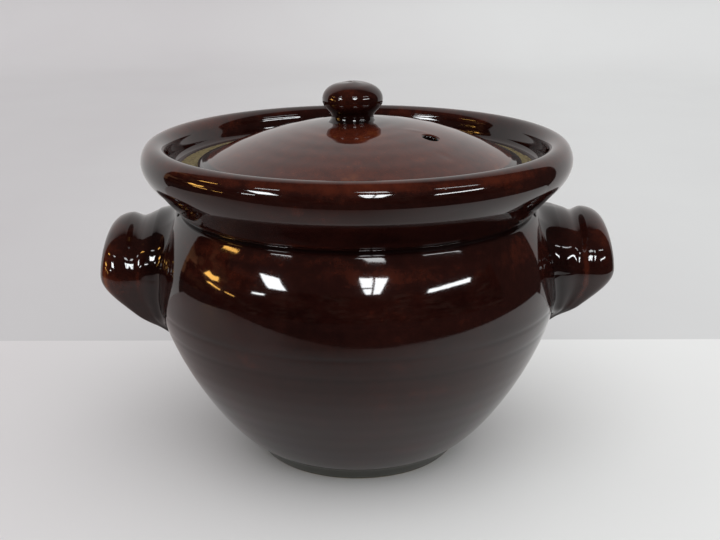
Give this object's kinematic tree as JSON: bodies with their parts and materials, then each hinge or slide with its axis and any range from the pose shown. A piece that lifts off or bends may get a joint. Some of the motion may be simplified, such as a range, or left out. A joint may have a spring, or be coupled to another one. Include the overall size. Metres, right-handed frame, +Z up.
{
  "type": "lidded bean pot",
  "caption": "Round stoneware bean pot with a flared rolled rim, arched lug handles and a domed lift-off lid with a mushroom knob and a steam vent.",
  "frame": {"origin": "centre of the foot ring, on the table", "axes": "+Z up along the pot's turning axis; the handles stand out along +X and -X; -Y is the front seen in the picture"},
  "size_m": [0.2746, 0.23, 0.2053],
  "materials": {
    "brown_glaze": "gloss"
  },
  "bodies": {
    "pot": {"pot_foot": "brown_glaze", "pot_belly": "brown_glaze", "pot_shoulder": "brown_glaze", "pot_rim": "brown_glaze", "handle_left": "brown_glaze", "handle_right": "brown_glaze"},
    "lid": {"lid": "brown_glaze", "lid_knob": "brown_glaze"}
  },
  "joints": [
    {"name": "lid_lift", "type": "slide", "parent": "pot", "child": "lid", "axis": [0, 0, 1], "range_m": [0, 0.08]}
  ]
}
